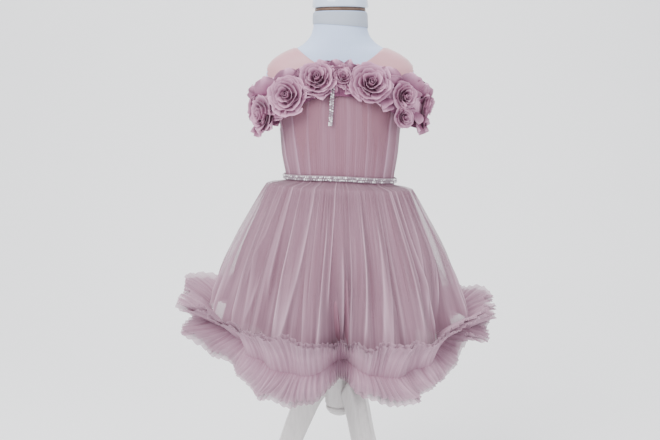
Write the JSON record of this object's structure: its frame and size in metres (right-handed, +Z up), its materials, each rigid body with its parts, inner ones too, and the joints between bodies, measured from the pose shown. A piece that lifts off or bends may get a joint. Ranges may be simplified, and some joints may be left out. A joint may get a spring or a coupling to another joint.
{
  "type": "toddler party dress on a tripod dress form",
  "caption": "Sleeveless tulle party dress with a rose garland collar, jewelled belt and ruffled hem, worn by a limbless child-size dress form on a tripod stand.",
  "frame": {"origin": "on the floor, under the middle of the stand's post", "axes": "+Z up, -Y the way the front of the dress faces, +X towards the viewer's right"},
  "size_m": [0.5158, 0.393, 0.8936],
  "materials": {
    "satin": "satin sheen",
    "tulle": "sheer matte net",
    "lining": "satin sheen",
    "chiffon": "matte",
    "jewels": "clear stones in bright metal settings",
    "jersey": "matte knitted",
    "neck_trim": "matte",
    "cap": "gloss",
    "disc": "dark stain",
    "painted_wood": "white gloss paint"
  },
  "bodies": {
    "root": {"bodice_front": "satin", "bodice_back_left": "satin", "bodice_back_right": "satin", "overlay_front": "tulle", "overlay_back_left": "tulle", "overlay_back_right": "tulle", "waist_belt": "jewels", "jewel_strand": "jewels", "overskirt": "tulle", "skirt_lining": "lining", "hem_ruffle": "tulle", "garland_band": "chiffon", "rose_1": "chiffon", "rose_2": "chiffon", "rose_3": "chiffon", "rose_4": "chiffon", "rose_5": "chiffon", "rose_6": "chiffon", "rose_7": "chiffon", "rose_8": "chiffon", "rose_9": "chiffon", "form_torso": "jersey", "form_neck_band": "neck_trim", "form_neck_disc": "disc", "form_neck_cap": "cap", "stand_hub": "painted_wood", "stand_post": "painted_wood", "leg_left": "painted_wood", "leg_front": "painted_wood", "leg_back": "painted_wood"}
  },
  "joints": []
}
